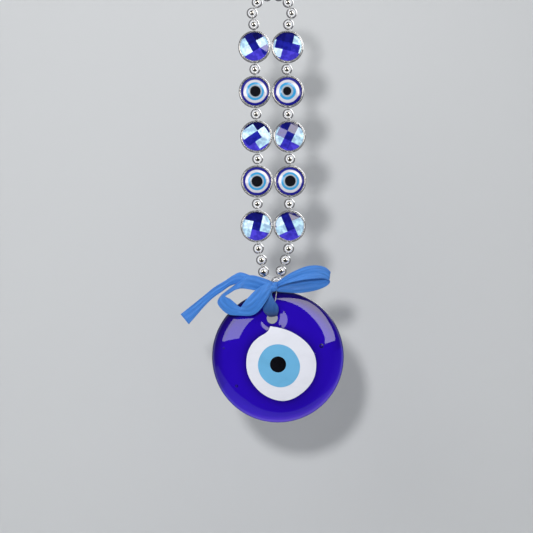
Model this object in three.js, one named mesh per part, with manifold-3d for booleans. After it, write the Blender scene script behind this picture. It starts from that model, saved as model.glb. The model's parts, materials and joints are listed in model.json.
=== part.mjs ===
// Evil eye ornament: a double string of plated beads and bezel-set discs, hung by a bead
// loop, that carries a cobalt glass eye on a tied ribbon. Millimetres, +Z up, the front
// faces -Y. The origin is the point inside the top of the loop that rests on the nail.
import * as THREE from "three";
import { mergeVertices } from "three/addons/utils/BufferGeometryUtils.js";
import Module from "manifold-3d";

// ---- Driving sizes ----
const seatGap = 0.3; // between pieces that seat on or beside each other
const beadDiameter = 5.7;
const boreDiameter = 2.2; // hole through each bead and bezel
const cordDiameter = 0.5;

const loopBeadsPerSide = 4;
const loopBeadGap = 0.44; // free space between two beads on the loop
const loopStep = THREE.MathUtils.degToRad(34); // turn of the loop from bead to bead

const rowCount = 5;
const bezelDiameter = 17.0;
const bezelDepth = 4.6; // front edge to back edge of a bezel ring
const bezelWall = 1.2; // radial width of the ring
const bezelPairGap = 0.45; // between the two bezels of a row
const bezelBeadGap = 0.5; // between a bezel and the bead above or below it
const insertDepth = 6.0; // crown to crown
const insertEdge = 3.2; // thickness at the girdle
const spacerInset = 0.25; // the beads between rows lie this much closer together than the bezels
const loopFlare = 0.45; // the loop's lowest beads lie this much further apart
// Sideways wander of both strands at the hinge beads, from the loop's lowest pair down.
const sway = [-1.0, -1.15, -0.5, 0.4, 0.2, 0.0];

const lowerBeadGap = 0.55; // free space between two beads below the last row
// Lean of the string from plumb, in degrees, from the last bezel to each lower bead.
const leftLean = [4.5, 15.3, 9.7];
const rightLean = [2.7, 16, 21, 22.5]; // the last one reaches the collector bead

const discDiameter = 70;
const discCentreThickness = 9;
const discEdgeThickness = 4;
const discRimRound = 2; // radius of the rounded rim
const domeFullness = 3; // power of the dome's fall towards the rim: 2 is a paraboloid
const holeDiameter = 5.8;
const holeOffset = 20.6; // disc centre to hole centre
const dimpleDiameter = 11; // where the glass sinks towards the hole
const dimpleDepth = 1.1;
const discLean = THREE.MathUtils.degToRad(8.5); // of the line from disc centre to hole
const rimClearance = 1.95; // collector bead to the top of the disc
const holeSideStep = -2.3; // the hole lies this far to the side of the collector bead

const whiteRadius = 18.5;
const whiteCentre = new THREE.Vector2(0.9, -5.4); // from the disc centre, Y towards the hole
const whiteTipGap = 1.3; // tip of the white drop to the edge of the hole
const whiteThickness = 2.4;
const irisRadius = 11.1;
const irisCentre = new THREE.Vector2(-0.2, -5.0);
const irisThickness = 1.2;
const pupilRadius = 4.1;
const pupilThickness = 0.5;

const ribbonThickness = 0.7;
const rightLoopThickness = 2.2;
const knotSize = new THREE.Vector3(4.8, 3, 5.4);
const knotFromCollector = new THREE.Vector2(-1.0, -2.4);
const hangerWidth = 0.69 * holeDiameter; // the ribbon bunched to pass the hole
const hangerThickness = 0.6;

// ---- Sizes that follow ----
const beadRadius = beadDiameter / 2;
const bezelRadius = bezelDiameter / 2;
const insertRadius = bezelRadius - bezelWall - seatGap;
const rowPitch = bezelDiameter + beadDiameter + 2 * bezelBeadGap;
const strandHalf = (bezelDiameter + bezelPairGap) / 2;
const loopPitch = beadDiameter + loopBeadGap;
const loopRadius = loopPitch / 2 / Math.sin(loopStep / 2);
const loopCentreZ = beadRadius - loopRadius * Math.cos(loopStep / 2);
const discRadius = discDiameter / 2;
const crown = discCentreThickness - discEdgeThickness;
// The back of the disc lies where its centre of mass is in the plane of the string.
const meanFall = (2 * crown) / (domeFullness + 2);
const discBackY =
  (discCentreThickness ** 2 / 2 -
    discCentreThickness * meanFall +
    crown ** 2 / (2 * domeFullness + 2)) /
  (discCentreThickness - meanFall);

const silver = { color: 0xd9dde2, roughness: 0.08, metalness: 1 };
const looks = {
  bead: silver,
  bezel: silver,
  crystal: { color: 0x1c3cc8, roughness: 0.05, metalness: 0 },
  cabochon: { color: 0x1a2f9c, roughness: 0.05, metalness: 0 },
  cord: { color: 0xe6e8ea, roughness: 0.25, metalness: 0 },
  glass: { color: 0x2405ab, roughness: 0.04, metalness: 0 },
  white: { color: 0xe6e7ee, roughness: 0.08, metalness: 0 },
  iris: { color: 0x6baed9, roughness: 0.08, metalness: 0 },
  pupil: { color: 0x0a0b12, roughness: 0.06, metalness: 0 },
  ribbon: { color: 0x3573ba, roughness: 0.55, metalness: 0 },
};

const ornament = new THREE.Group();

function addPiece(name, geometry, look, parent = ornament) {
  const mesh = new THREE.Mesh(geometry, new THREE.MeshStandardMaterial(look));
  mesh.name = name;
  parent.add(mesh);
  return mesh;
}

// ---- Joining and cutting ----
const wasm = await Module();
wasm.setup();

function solidOf(geometry) {
  const bare = geometry.clone();
  bare.deleteAttribute("normal");
  bare.deleteAttribute("uv");
  const merged = mergeVertices(bare, 1e-4);
  return new wasm.Manifold(
    new wasm.Mesh({
      numProp: 3,
      vertProperties: new Float32Array(merged.attributes.position.array),
      triVerts: new Uint32Array(merged.index.array),
    }),
  );
}

function geometryOf(solid) {
  const { vertProperties, triVerts } = solid.getMesh();
  return new THREE.BufferGeometry()
    .setAttribute("position", new THREE.BufferAttribute(vertProperties, 3))
    .setIndex(new THREE.BufferAttribute(triVerts, 1));
}

// ---- Shapes used more than once ----

// A flat outline in X and Z, as a plate between two values of Y.
function plate(shape, frontY, backY) {
  return new THREE.ExtrudeGeometry(shape, {
    depth: backY - frontY,
    bevelEnabled: false,
    curveSegments: 7,
  })
    .rotateX(Math.PI / 2)
    .translate(0, backY, 0);
}

// A solid of revolution about Y, from its outline as [radius, y] pairs with y rising.
function turned(outline, segments) {
  return new THREE.LatheGeometry(
    outline.map(([radius, y]) => new THREE.Vector2(radius, y)),
    segments,
  );
}

function cordAlong(points, steps) {
  const section = new THREE.Shape();
  section.absarc(0, 0, cordDiameter / 2, 0, 2 * Math.PI);
  return new THREE.ExtrudeGeometry(section, {
    extrudePath: new THREE.CatmullRomCurve3(points),
    steps,
    curveSegments: 4,
  });
}

const at = (x, z) => new THREE.Vector3(x, 0, z);

// ---- Where the beads lie ----

// From the top of the loop down one side: side is -1 on the left and +1 on the right.
function loopSide(side) {
  const points = [];
  for (let i = 0; i < loopBeadsPerSide - 1; i++) {
    const turn = loopStep * (i + 0.5);
    points.push(at(side * loopRadius * Math.sin(turn), loopCentreZ + loopRadius * Math.cos(turn)));
  }
  const last = points[points.length - 1];
  const across = Math.abs(last.x) - (strandHalf + loopFlare);
  const down = Math.sqrt(loopPitch ** 2 - across ** 2);
  points.push(at(side * (strandHalf + loopFlare), last.z - down));
  const height = points[0].z - points[points.length - 1].z;
  // The loop leans with the strands that hang from it.
  return points.map((p) => at(p.x + (sway[0] * (points[0].z - p.z)) / height, p.z));
}

const loopPoints = { left: loopSide(-1), right: loopSide(1) };
const firstHingeZ = loopPoints.left[loopBeadsPerSide - 1].z;

function strandOf(side, lean) {
  const loop = side < 0 ? loopPoints.left : loopPoints.right;
  const hinges = [loop[loopBeadsPerSide - 1]];
  for (let row = 1; row < rowCount; row++) {
    hinges.push(at(sway[row] + side * (strandHalf - spacerInset), firstHingeZ - row * rowPitch));
  }
  const bezels = hinges.map((hinge, row) =>
    at((sway[row] + sway[row + 1]) / 2 + side * strandHalf, hinge.z - rowPitch / 2),
  );
  const lower = [];
  let from = bezels[rowCount - 1];
  lean.forEach((degrees, i) => {
    const angle = THREE.MathUtils.degToRad(degrees);
    const reach = i === 0 ? rowPitch / 2 : beadDiameter + lowerBeadGap;
    from = at(from.x - side * reach * Math.sin(angle), from.z - reach * Math.cos(angle));
    lower.push(from);
  });
  return { side, hinges, bezels, lower };
}

const left = strandOf(-1, leftLean);
const right = strandOf(1, rightLean);
const collector = right.lower.pop();

// The line of the string through the pieces threaded on it: straight through most of each
// bore, halfway between the directions it comes from and goes to, with its bends between.
function threadLine(places) {
  const straight = 0.75 * beadRadius;
  const points = places.flatMap((place, i) => {
    const from = place.clone().sub(places[i - 1] ?? place).normalize();
    const onward = (places[i + 1] ?? place).clone().sub(place).normalize();
    const reach = from.add(onward).setLength(straight);
    return [place.clone().sub(reach), place, place.clone().add(reach)];
  });
  return new THREE.CatmullRomCurve3(points, false, "centripetal");
}

// Down one strand, from the loop's lowest bead to the collector bead.
function strandLine(strand) {
  const rows = strand.hinges.flatMap((hinge, row) => [hinge, strand.bezels[row]]);
  return threadLine([...rows, ...strand.lower, collector]);
}

const loopLine = threadLine([
  left.bezels[0],
  ...[...loopPoints.left].reverse(),
  ...loopPoints.right,
  right.bezels[0],
]);

// The point of a line of the string that is nearest to a place on it, as a share of its length.
function shareAt(line, place) {
  const samples = 1200;
  const distances = line.getSpacedPoints(samples).map((point) => point.distanceTo(place));
  return distances.indexOf(Math.min(...distances)) / samples;
}

function pointsBetween(line, start, end, count) {
  return Array.from({ length: count + 1 }, (_, i) =>
    line.getPointAt(start + ((end - start) * i) / count),
  );
}

// ---- Silver beads ----
const beadArcSteps = 5;
const beadSegments = 10;
const boreRadius = boreDiameter / 2;
const boreAngle = Math.asin(boreRadius / beadRadius);
const beadOutline = Array.from({ length: beadArcSteps + 1 }, (_, i) => {
  const angle = Math.PI - boreAngle - ((Math.PI - 2 * boreAngle) * i) / beadArcSteps;
  return [beadRadius * Math.sin(angle), beadRadius * Math.cos(angle)];
});
const beadGeometry = turned([...beadOutline, beadOutline[0]], beadSegments);
const up = new THREE.Vector3(0, 1, 0);

// A bead threaded on a line of the string, its bore along the line.
function addBead(name, place, line) {
  const bead = addPiece(name, beadGeometry, looks.bead);
  bead.position.copy(place);
  bead.quaternion.setFromUnitVectors(up, line.getTangentAt(shareAt(line, place)));
}

for (let i = 0; i < loopBeadsPerSide; i++) {
  addBead(`loop_bead_left_${i + 1}`, loopPoints.left[i], loopLine);
  addBead(`loop_bead_right_${i + 1}`, loopPoints.right[i], loopLine);
}

// ---- Bezels: a ring and the insert set in it ----
const ringSegments = 18;
const insertSegments = 14;
const crystalSegments = 10;

function boreThrough(geometry) {
  const drill = new THREE.CylinderGeometry(boreRadius, boreRadius, bezelDiameter + 2, 10);
  return geometryOf(solidOf(geometry).subtract(solidOf(drill.rotateX(Math.PI / 2))));
}

// The outside of the ring lies on a sphere, so that the bezel can turn beside its neighbour.
const ringEdgeRadius = Math.sqrt(bezelRadius ** 2 - (bezelDepth / 2) ** 2);
const ringInside = bezelRadius - bezelWall;
const ringGeometry = boreThrough(
  turned(
    [
      [ringInside, -bezelDepth / 2],
      [ringEdgeRadius, -bezelDepth / 2],
      [bezelRadius, 0],
      [ringEdgeRadius, bezelDepth / 2],
      [ringInside, bezelDepth / 2],
      [ringInside, -bezelDepth / 2],
    ],
    ringSegments,
  ),
);

const crownShares = [
  [0.55, 0.82],
  [0.86, 0.35],
];
function insertOutline() {
  const half = crownShares.map(([share, rise]) => [
    share * insertRadius,
    insertEdge / 2 + rise * (insertDepth / 2 - insertEdge / 2),
  ]);
  const front = half.map(([radius, y]) => [radius, -y]);
  return [
    [0, -insertDepth / 2],
    ...front,
    [insertRadius, -insertEdge / 2],
    [insertRadius, insertEdge / 2],
    ...half.reverse(),
    [0, insertDepth / 2],
  ];
}
const cabochonGeometry = boreThrough(turned(insertOutline(), insertSegments));
const crystalGeometry = boreThrough(turned(insertOutline(), crystalSegments));

function addBezel(sideName, row, place, line) {
  const bezel = new THREE.Group();
  const along = line.getTangentAt(shareAt(line, place));
  bezel.position.copy(place);
  bezel.rotation.y = Math.atan2(-along.x, -along.z);
  ornament.add(bezel);
  addPiece(`bezel_ring_${sideName}_${row}`, ringGeometry, looks.bezel, bezel);
  // Crystals and eyes take turns down the string.
  const crystal = row % 2 === 1;
  addPiece(
    `${crystal ? "crystal" : "eye_cabochon"}_${sideName}_${row}`,
    crystal ? crystalGeometry : cabochonGeometry,
    crystal ? looks.crystal : looks.cabochon,
    bezel,
  );
}

// ---- The strands ----
const rowCordSteps = 4;
const lowerCordSteps = 28;

function addStrand(sideName, strand) {
  const line = strandLine(strand);
  const length = line.getLength();
  const stops = [...strand.hinges, collector].map((place) => shareAt(line, place));
  for (let row = 1; row <= rowCount; row++) {
    addBezel(sideName, row, strand.bezels[row - 1], line);
    if (row < rowCount) addBead(`spacer_bead_${sideName}_${row}`, strand.hinges[row], line);
    // Each length of cord starts clear of the bead it hinges on and ends inside the next one.
    const start = stops[row - 1] + (beadRadius + seatGap) / length;
    const last = row === rowCount;
    const end = stops[row] - (last ? (beadRadius + seatGap) / length : 0);
    const steps = last ? lowerCordSteps : rowCordSteps;
    const points = pointsBetween(line, start, end, steps);
    addPiece(`cord_${sideName}_${row}`, cordAlong(points, steps), looks.cord);
  }
  strand.lower.forEach((place, i) => addBead(`lower_bead_${sideName}_${i + 1}`, place, line));
}
addStrand("left", left);
addStrand("right", right);

const loopCordSteps = 52;
const loopCordStart = shareAt(loopLine, left.hinges[0]);
const loopCordEnd = shareAt(loopLine, right.hinges[0]);
addPiece(
  "cord_loop",
  cordAlong(pointsBetween(loopLine, loopCordStart, loopCordEnd, loopCordSteps), loopCordSteps),
  looks.cord,
);

const collectorBead = addPiece("collector_bead", beadGeometry, looks.bead);
collectorBead.position.copy(collector);
collectorBead.rotation.x = Math.PI / 2;

// ---- Glass eye ----
const hole = at(
  collector.x + holeSideStep,
  collector.z - beadRadius - rimClearance - (discRadius - holeOffset),
);
const frontY = (radius) =>
  discBackY - discCentreThickness + crown * (radius / discRadius) ** domeFullness;

const discSegments = 32;

function discBlank() {
  const rimCentreY = discBackY - discRimRound;
  const rim = [60, 15, -30].map((degrees) => {
    const angle = THREE.MathUtils.degToRad(degrees);
    return [
      discRadius - discRimRound + discRimRound * Math.cos(angle),
      rimCentreY + discRimRound * Math.sin(angle),
    ];
  });
  const dome = [0, 0.35, 0.6, 0.75, 0.86, 0.945].map((share) => [
    share * discRadius,
    frontY(share * discRadius),
  ]);
  const back = [
    [discRadius - discRimRound, discBackY],
    [0, discBackY],
  ];
  return solidOf(turned([...dome, ...rim.reverse(), ...back], discSegments));
}

// The outer radius of the white drop in a direction about its centre, with its tip beneath
// the hole. Directions turn from up towards +X.
const whiteTipTurn = THREE.MathUtils.degToRad(-5.5);
const whiteTipSpread = THREE.MathUtils.degToRad(62); // from the tip to where the drop is round
const whiteTipReach = holeOffset - holeDiameter / 2 - whiteTipGap - whiteCentre.y;
function dropRadius(turn) {
  const away = Math.abs(Math.atan2(Math.sin(turn - whiteTipTurn), Math.cos(turn - whiteTipTurn)));
  const share = Math.max(0, 1 - away / whiteTipSpread);
  return whiteRadius + (whiteTipReach - whiteRadius) * share ** 2.4;
}

// A layer of the eye that follows the dome of the glass. Its rows run from the axis over the
// front to the back: each has a radius, as a function of the direction, and a depth.
const layerSegments = 28;
function eyeLayer(centre, rows) {
  const flat = rows.map((row, i) => new THREE.Vector2(row.radius(0), i));
  const layer = new THREE.LatheGeometry(flat, layerSegments);
  const position = layer.attributes.position;
  for (let i = 0; i < position.count; i++) {
    const { radius, depth } = rows[i % rows.length];
    const turn = (2 * Math.PI * Math.floor(i / rows.length)) / layerSegments;
    const x = centre.x + radius(turn) * Math.sin(turn);
    const z = centre.y + radius(turn) * Math.cos(turn);
    position.setXYZ(i, x, frontY(Math.hypot(x, z)) + depth, z);
  }
  return layer;
}

const ring = (size) => () => size;
const axis = ring(0);

// The rows of a layer that is open in front for the next one, out to its own edge.
function seatedRows(seatRadius, seatDepth, edge, thickness) {
  return [
    { radius: axis, depth: seatDepth },
    { radius: ring(seatRadius), depth: seatDepth },
    { radius: ring(seatRadius), depth: 0 },
    { radius: (turn) => (seatRadius + edge(turn)) / 2, depth: 0 },
    { radius: edge, depth: 0 },
    { radius: edge, depth: thickness },
    { radius: ring(seatRadius), depth: thickness },
    { radius: axis, depth: thickness },
  ];
}

// The hole with the dimple that leads into it.
function holeCutter() {
  const mouthY = frontY(holeOffset);
  return solidOf(
    turned(
      [
        [0, mouthY - 3],
        [dimpleDiameter / 2, mouthY - 3],
        [dimpleDiameter / 2, mouthY - 0.5],
        [holeDiameter / 2 + 0.8, mouthY + 0.6 * dimpleDepth],
        [holeDiameter / 2, mouthY + dimpleDepth],
        [holeDiameter / 2, discBackY + 1],
        [0, discBackY + 1],
      ],
      16,
    ).translate(0, 0, holeOffset),
  );
}

const disc = new THREE.Group();
disc.rotation.y = -discLean;
disc.position.copy(hole).sub(at(0, holeOffset).applyAxisAngle(up, -discLean));
ornament.add(disc);

// The outer radius of the white drop in a direction about the middle of the iris, found by
// stepping along that direction to the outline of the drop.
function dropFromIris(turn) {
  const offset = whiteCentre.clone().sub(irisCentre);
  const direction = new THREE.Vector2(Math.sin(turn), Math.cos(turn));
  let radius = whiteRadius;
  for (let i = 0; i < 12; i++) {
    const place = direction.clone().multiplyScalar(radius).sub(offset);
    radius += dropRadius(Math.atan2(place.x, place.y)) - place.length();
  }
  return radius;
}

// Each layer is set in the middle of the one beneath it.
const pocketFrontDepth = -3; // clear in front of the glass
const whitePocket = eyeLayer(irisCentre, [
  { radius: axis, depth: pocketFrontDepth },
  { radius: (turn) => dropFromIris(turn) + seatGap, depth: pocketFrontDepth },
  { radius: (turn) => dropFromIris(turn) + seatGap, depth: whiteThickness + seatGap },
  { radius: ring(irisRadius), depth: whiteThickness + seatGap },
  { radius: axis, depth: whiteThickness + seatGap },
]);
addPiece(
  "glass_disc",
  geometryOf(discBlank().subtract(holeCutter()).subtract(solidOf(whitePocket))),
  looks.glass,
  disc,
);

addPiece(
  "eye_white",
  eyeLayer(
    irisCentre,
    seatedRows(irisRadius + seatGap, irisThickness + seatGap, dropFromIris, whiteThickness),
  ),
  looks.white,
  disc,
);
addPiece(
  "eye_iris",
  eyeLayer(
    irisCentre,
    seatedRows(pupilRadius + seatGap, pupilThickness + seatGap, ring(irisRadius), irisThickness),
  ),
  looks.iris,
  disc,
);
addPiece(
  "eye_pupil",
  eyeLayer(irisCentre, [
    { radius: axis, depth: 0 },
    { radius: ring(pupilRadius), depth: 0 },
    { radius: ring(pupilRadius), depth: pupilThickness },
    { radius: axis, depth: pupilThickness },
  ]),
  looks.pupil,
  disc,
);

// ---- Cord that carries the disc: down in front of the glass, through the hole, up behind ----
const cordClear = cordDiameter / 2 + seatGap; // from a surface to the middle of the cord
const cordTopZ = collector.z - beadRadius - cordClear + 0.1;
const rimTopZ = collector.z - beadRadius - rimClearance;
const cordFrontY = frontY(holeOffset) - cordClear;
const cordBackY = discBackY + cordClear;
const cordHoleZ = hole.z + holeDiameter / 2 - cordClear - 0.2;
const pendantSteps = 32;
const pendant = [
  [collector.x, -0.45, cordTopZ],
  [collector.x, -1.6, cordTopZ - 0.3],
  [collector.x - 0.1, -2.7, rimTopZ - 0.9],
  [collector.x - 0.5, cordFrontY + 0.7, rimTopZ - 4],
  [hole.x + 0.7, cordFrontY - 0.1, hole.z + 7],
  [hole.x + 0.2, cordFrontY - 0.1, hole.z + 4.2],
  [hole.x, cordFrontY + 0.9, cordHoleZ + 0.4],
  [hole.x, cordFrontY + 2.2, cordHoleZ],
  [hole.x, 0, cordHoleZ],
  [hole.x, cordBackY - 1.6, cordHoleZ],
  [hole.x, cordBackY - 0.2, cordHoleZ + 0.35],
  [hole.x + 0.1, cordBackY, hole.z + 4.2],
  [hole.x + 0.7, cordBackY, hole.z + 9],
  [collector.x - 0.2, cordBackY, rimTopZ - 2.2],
  [collector.x, cordBackY - 0.35, rimTopZ - 0.1],
  [collector.x, 2.3, cordTopZ - 0.05],
  [collector.x, 0.45, cordTopZ],
].map(([x, y, z]) => new THREE.Vector3(x, y, z));
addPiece("cord_pendant", cordAlong(pendant, pendantSteps), looks.cord);

// ---- Ribbon bow ----
const knot = at(collector.x + knotFromCollector.x, collector.z + knotFromCollector.y);
const ribbonFrontY = cordFrontY - cordDiameter / 2 - seatGap - hangerThickness / 2;
const ribbonBackY = cordBackY + cordDiameter / 2 + seatGap + hangerThickness / 2;

// Outlines from the middle of the knot, in X and Z.
const leftLoopOutline = [
  [0, 2.4], [-5.3, 3.7], [-10.6, 5.8], [-13.2, 6.1], [-15.6, 4.9], [-20.2, 1.2],
  [-26.4, -3.2], [-29.9, -8.5], [-27.7, -12.3], [-24.2, -15.1], [-18.5, -15.8],
  [-10.2, -15.4], [-6.5, -10.6], [-3, -5.4], [0, -1.5],
];
const leftLoopOpening = [
  [-21.9, -1.1], [-16.4, -1.6], [-11.1, -2.1], [-18.5, -10.6], [-22.5, -6.3], [-25.6, -4.5],
];
const rightLoopOutline = [
  [0, 2.2], [7.9, 6.7], [13.2, 9.2], [20.6, 11.1], [27.5, 9.5], [29.6, 6.1], [29.1, 3.7],
  [26.2, 0.6], [18.8, -2.1], [10, -3.4], [0, -2.6],
];
const tailOutline = [
  [0, 1.8], [-13.2, 6.1], [-18, 7.5], [-23.1, 4.1], [-29.9, 1.5], [-35.1, -2.2],
  [-41.4, -8.2], [-49.4, -14.8], [-45.7, -19.5], [-28.2, -3.1], [-24.2, 1.2], [-17.5, 2.6],
  [0, -1.8],
];
const hangerWay = [
  [knot.x, ribbonFrontY + 0.2, knot.z - 1],
  [knot.x - 0.4, ribbonFrontY, knot.z - 3.5],
  [hole.x + 0.2, ribbonFrontY - 0.1, hole.z + 7.5],
  [hole.x, ribbonFrontY, hole.z + 4],
  [hole.x, ribbonFrontY + 1.0, hole.z + 2.1],
  [hole.x, ribbonFrontY + 2.6, hole.z + 1.15],
  [hole.x, 0, hole.z + 1.1],
  [hole.x, ribbonBackY - 2.2, hole.z + 1.15],
  [hole.x, ribbonBackY - 0.45, hole.z + 2.0],
  [hole.x - 0.2, ribbonBackY, hole.z + 4.5],
  [hole.x - 1.2, ribbonBackY, hole.z + 11],
  [knot.x - 3.9, ribbonBackY - 0.2, knot.z - 1.6],
  [knot.x - 4.1, ribbonBackY - 1.6, knot.z + 0.3],
  [knot.x - 4.1, 0, knot.z + 0.8],
  [knot.x - 3.6, -2.8, knot.z + 0.5],
  [knot.x - 1.6, ribbonFrontY + 0.6, knot.z],
].map(([x, y, z]) => new THREE.Vector3(x, y, z));

function ribbonPlate(outline, opening, frontOfPlate, thickness) {
  const shape = new THREE.Shape(outline.map(([x, z]) => new THREE.Vector2(x, z)));
  if (opening) shape.holes.push(new THREE.Path(opening.map(([x, z]) => new THREE.Vector2(x, z))));
  const made = plate(shape, frontOfPlate, frontOfPlate + thickness);
  return solidOf(made.translate(knot.x, 0, knot.z));
}

function hangerSolid() {
  const [w, t] = [hangerWidth / 2, hangerThickness / 2];
  const section = new THREE.Shape([
    new THREE.Vector2(-t, -w),
    new THREE.Vector2(t, -w),
    new THREE.Vector2(t, w),
    new THREE.Vector2(-t, w),
  ]);
  return solidOf(
    new THREE.ExtrudeGeometry(section, {
      extrudePath: new THREE.CatmullRomCurve3(hangerWay),
      steps: 28,
    }),
  );
}

const knotSolid = solidOf(
  new THREE.SphereGeometry(0.5, 10, 8)
    .scale(knotSize.x, knotSize.y, knotSize.z)
    .translate(knot.x, ribbonFrontY, knot.z),
);
const bow = knotSolid
  .add(hangerSolid())
  .add(ribbonPlate(leftLoopOutline, leftLoopOpening, ribbonFrontY - 0.6, ribbonThickness))
  .add(ribbonPlate(rightLoopOutline, null, ribbonFrontY - 0.8, rightLoopThickness))
  .add(ribbonPlate(tailOutline, null, ribbonFrontY + 0.4, ribbonThickness));
addPiece("ribbon_bow", geometryOf(bow), looks.ribbon);

export default ornament;
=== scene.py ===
"""Evil eye ornament: its visible pieces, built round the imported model, in metres and in its frame."""
import json
import math

import bmesh
import bpy
import numpy as np
from bpy.props import FloatProperty, FloatVectorProperty, IntProperty, PointerProperty
from mathutils import Matrix, Vector


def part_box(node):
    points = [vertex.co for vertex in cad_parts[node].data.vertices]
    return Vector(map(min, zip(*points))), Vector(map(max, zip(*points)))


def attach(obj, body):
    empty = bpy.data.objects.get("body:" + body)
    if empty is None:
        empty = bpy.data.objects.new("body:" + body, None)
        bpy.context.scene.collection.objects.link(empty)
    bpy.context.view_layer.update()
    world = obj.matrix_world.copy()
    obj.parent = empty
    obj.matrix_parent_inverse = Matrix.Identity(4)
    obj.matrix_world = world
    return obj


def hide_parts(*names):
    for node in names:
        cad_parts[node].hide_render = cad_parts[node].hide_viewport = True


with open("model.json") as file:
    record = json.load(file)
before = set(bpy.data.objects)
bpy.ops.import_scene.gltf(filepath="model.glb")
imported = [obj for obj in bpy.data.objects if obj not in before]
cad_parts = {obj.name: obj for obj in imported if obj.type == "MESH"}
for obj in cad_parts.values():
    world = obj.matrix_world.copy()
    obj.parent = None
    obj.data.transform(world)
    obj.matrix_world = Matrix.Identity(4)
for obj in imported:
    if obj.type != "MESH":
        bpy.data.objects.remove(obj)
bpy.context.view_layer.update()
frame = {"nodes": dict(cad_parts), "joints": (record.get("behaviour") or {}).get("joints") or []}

bl_info = {
    "name": "Evil Eye Ornament",
    "version": (1, 0, 0),
    "blender": (4, 5, 0),
    "location": "View3D > Sidebar > Evil Eye",
    "description": "Beads, bezels, ribbon and glass of a hanging evil eye ornament",
    "category": "Object",
}

MM = 0.001
SIDES = ("left", "right")
ROWS = (1, 2, 3, 4, 5)


# ---- Where the pieces are ----


def middle(node):
    low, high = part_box(node)
    return (low + high) / 2


def half_size(node):
    low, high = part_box(node)
    return (high - low) / 2


def threaded():
    """Every piece on the string: its middle and the direction the string goes through it."""
    loop = [f"loop_bead_left_{i}" for i in (4, 3, 2, 1)]
    loop += [f"loop_bead_right_{i}" for i in (1, 2, 3, 4)]
    lines = [["bezel_ring_left_1", *loop, "bezel_ring_right_1"]]
    for side in SIDES:
        line = [f"loop_bead_{side}_4"]
        for row in ROWS:
            line.append(f"bezel_ring_{side}_{row}")
            if row < ROWS[-1]:
                line.append(f"spacer_bead_{side}_{row}")
        line += [f"lower_bead_{side}_{i}" for i in (1, 2, 3)]
        lines.append([*line, "collector_bead"])
    places = {}
    for line in lines:
        for before, name, after in zip(line, line[1:], line[2:]):
            here = middle(name)
            into = (here - middle(before)).normalized()
            onward = (middle(after) - here).normalized()
            places[name] = (here, (into + onward).normalized())
    places["collector_bead"] = (middle("collector_bead"), Vector((0, 1, 0)))
    return places


PLACES = threaded()
JOINTS = {joint["name"]: joint for joint in frame["joints"]}
HOLE = Vector(JOINTS["eye_swing"]["pos_m"])
COLLECTOR = PLACES["collector_bead"][0]
DISC = middle("glass_disc")
DISC_FRONT, DISC_BACK = (corner.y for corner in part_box("glass_disc"))
DISC_RADIUS = half_size("glass_disc").z
KNOT = COLLECTOR + Vector((-1.0 * MM, 0, -2.4 * MM))


# ---- Sizes and colours that a user may change ----


def distance(name, description, mm):
    return FloatProperty(name=name, description=description, default=mm * MM, unit="LENGTH")


class OrnamentSizes(bpy.types.PropertyGroup):
    bead: distance("Bead", "Diameter of a plain bead", 5.7)
    bore: distance("Bore", "Hole through a bead", 2.2)
    bezel: distance("Bezel", "Diameter of a bezel ring", 17.0)
    insert: distance("Insert", "Diameter of a crystal or eye", 15.0)
    facet: distance("Facet", "Width of one crystal facet", 4.3)
    crown: distance("Crown", "Height of an insert's dome", 1.4)
    hole: distance("Hole", "Hole through the glass disc", 5.8)
    ribbon: distance("Ribbon", "Thickness of the ribbon", 0.28)
    line: distance("Line", "Diameter of the nylon line", 0.5)
    seed: IntProperty(name="Seed", description="Seed of the facets' shades", default=11)


def tint(name, description, value):
    return FloatVectorProperty(
        name=name, description=description, default=value, subtype="COLOR", size=3, min=0, max=1
    )


class OrnamentColours(bpy.types.PropertyGroup):
    silver: tint("Silver", "Plating of beads and bezels", (0.90, 0.90, 0.91))
    crystal: tint("Crystal", "Deep colour of the crystals", (0.013, 0.016, 0.36))
    glass: tint("Glass", "Cobalt glass", (0.020, 0.0022, 0.43))
    white: tint("White", "White glass", (0.74, 0.75, 0.82))
    iris: tint("Iris", "Light blue glass", (0.145, 0.42, 0.68))
    ribbon: tint("Ribbon", "Satin ribbon", (0.040, 0.195, 0.60))
    backdrop: tint("Backdrop", "Wall and floor", (0.60, 0.61, 0.62))


# ---- Materials ----


def surface(name, slot_colour, roughness, **inputs):
    """A material with one Principled shader, and its nodes and links for more."""
    material = bpy.data.materials.new(name)
    material.use_nodes = True
    nodes = material.node_tree.nodes
    shader = nodes["Principled BSDF"]
    shader.inputs["Base Color"].default_value = (*slot_colour, 1)
    shader.inputs["Roughness"].default_value = roughness
    for key, value in inputs.items():
        shader.inputs[key.replace("_", " ")].default_value = value
    return material, nodes, material.node_tree.links, shader


def join(links, *wires):
    """Each wire goes from a node and its output to a node and its input."""
    for source, output, target, entry in wires:
        links.new(source.outputs[output], target.inputs[entry])


def noise_on(nodes, links, vector, scale, detail, stretch, distortion=0.0):
    mapping = nodes.new("ShaderNodeMapping")
    mapping.inputs["Scale"].default_value = stretch
    noise = nodes.new("ShaderNodeTexNoise")
    noise.inputs["Scale"].default_value = scale
    noise.inputs["Detail"].default_value = detail
    noise.inputs["Distortion"].default_value = distortion
    join(links, (mapping, "Vector", noise, "Vector"))
    links.new(vector, mapping.inputs["Vector"])
    return noise.outputs["Fac"]


def object_noise(nodes, links, scale, detail=3.0, stretch=(1, 1, 1), distortion=0.0):
    coords = nodes.new("ShaderNodeTexCoord")
    return noise_on(nodes, links, coords.outputs["Object"], scale, detail, stretch, distortion)


def ramp(nodes, links, source, stops, interpolation="LINEAR"):
    made = nodes.new("ShaderNodeValToRGB")
    made.color_ramp.interpolation = interpolation
    elements = made.color_ramp.elements
    elements.remove(elements[1])
    elements[0].position, elements[0].color = stops[0][0], (*stops[0][1], 1)
    for position, colour in stops[1:]:
        elements.new(position).color = (*colour, 1)
    links.new(source, made.inputs["Fac"])
    return made.outputs["Color"]


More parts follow.
